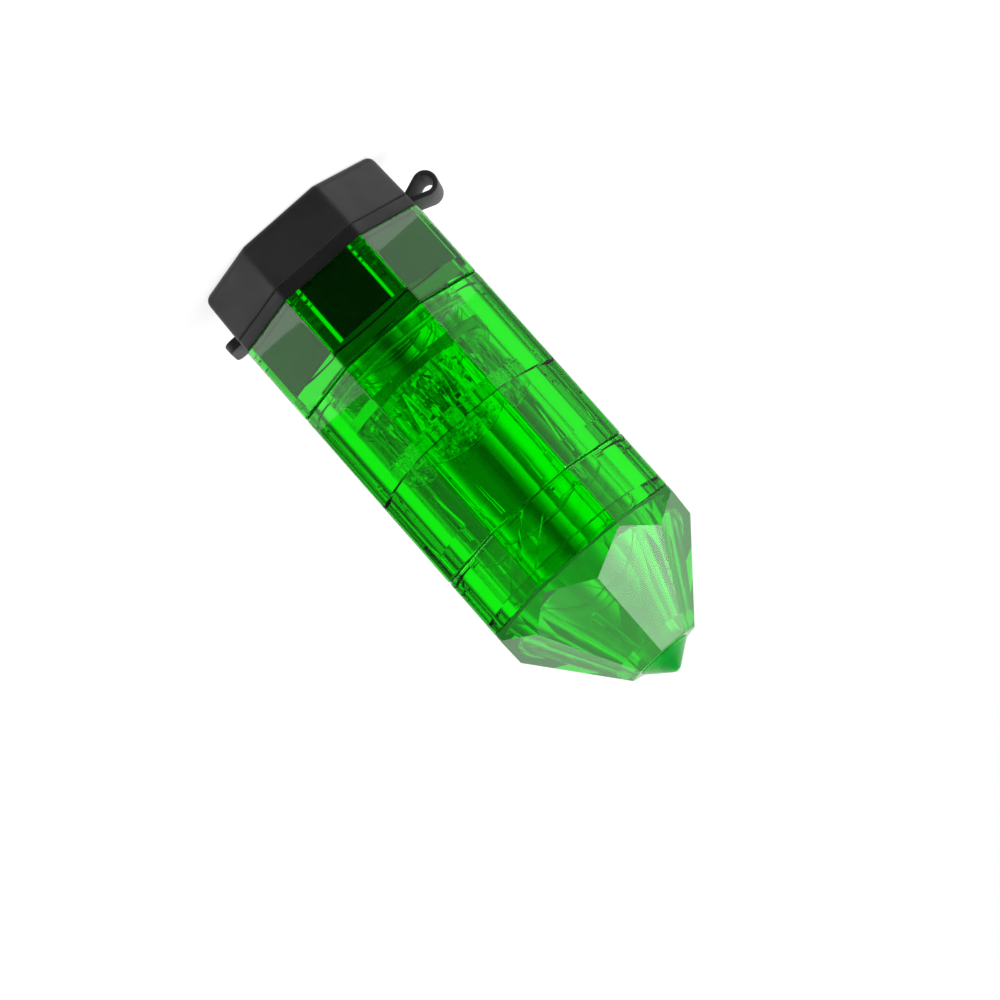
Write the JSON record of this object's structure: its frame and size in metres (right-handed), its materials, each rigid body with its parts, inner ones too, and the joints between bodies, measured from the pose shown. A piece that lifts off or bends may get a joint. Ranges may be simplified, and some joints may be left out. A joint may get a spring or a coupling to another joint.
{
  "type": "twist grinder",
  "caption": "Pencil-shaped hand twist grinder in clear green plastic: black rubber flip lid, lined stash chamber, interleaved teeth, collection chamber, bayonet funnel and pull-out tip.",
  "frame": {"origin": "centre of the lid's flat top, on which the grinder stands with its tip up", "axes": "+Z along the axis from the lid to the tip; -X towards the lid's strap; +X towards the lid's thumb tab"},
  "size_m": [0.0438, 0.036, 0.0943],
  "materials": {
    "black_rubber": "matt, finely grained",
    "clear_green_plastic": "polished, see-through",
    "dark_green_plastic": "polished, see-through",
    "clear_rubber": "smooth, see-through"
  },
  "bodies": {
    "barrel": {"grinder_body": "clear_green_plastic", "lower_tooth_plate": "clear_green_plastic"},
    "grip_ring": {"grip_ring": "clear_rubber"},
    "head": {"stash_chamber": "clear_green_plastic", "upper_tooth_cup": "clear_green_plastic", "stash_cup": "black_rubber", "lid_strap": "black_rubber"},
    "lid": {"lid": "black_rubber"},
    "funnel": {"bayonet_ring": "clear_green_plastic", "funnel": "clear_green_plastic"},
    "tip_plug": {"tip_plug": "dark_green_plastic"}
  },
  "joints": [
    {"name": "head_lift", "type": "slide", "parent": "barrel", "child": "grip_ring", "axis": [0, 0, -1], "range_m": [0, 0.018]},
    {"name": "head_twist", "type": "hinge", "parent": "grip_ring", "child": "head", "pos_m": [0, 0, 0.028], "axis": [0, 0, 1], "continuous": true},
    {"name": "lid_hinge", "type": "hinge", "parent": "head", "child": "lid", "pos_m": [-0.023, 0, 0.00895], "axis": [0, 1, 0], "range_deg": [0, 165], "deforming": ["lid_strap"]},
    {"name": "funnel_turn", "type": "hinge", "parent": "barrel", "child": "funnel", "pos_m": [0, 0, 0.066], "axis": [0, 0, 1], "range_deg": [0, 20]},
    {"name": "tip_pull", "type": "slide", "parent": "funnel", "child": "tip_plug", "axis": [0, 0, 1], "range_m": [0, 0.008]}
  ]
}
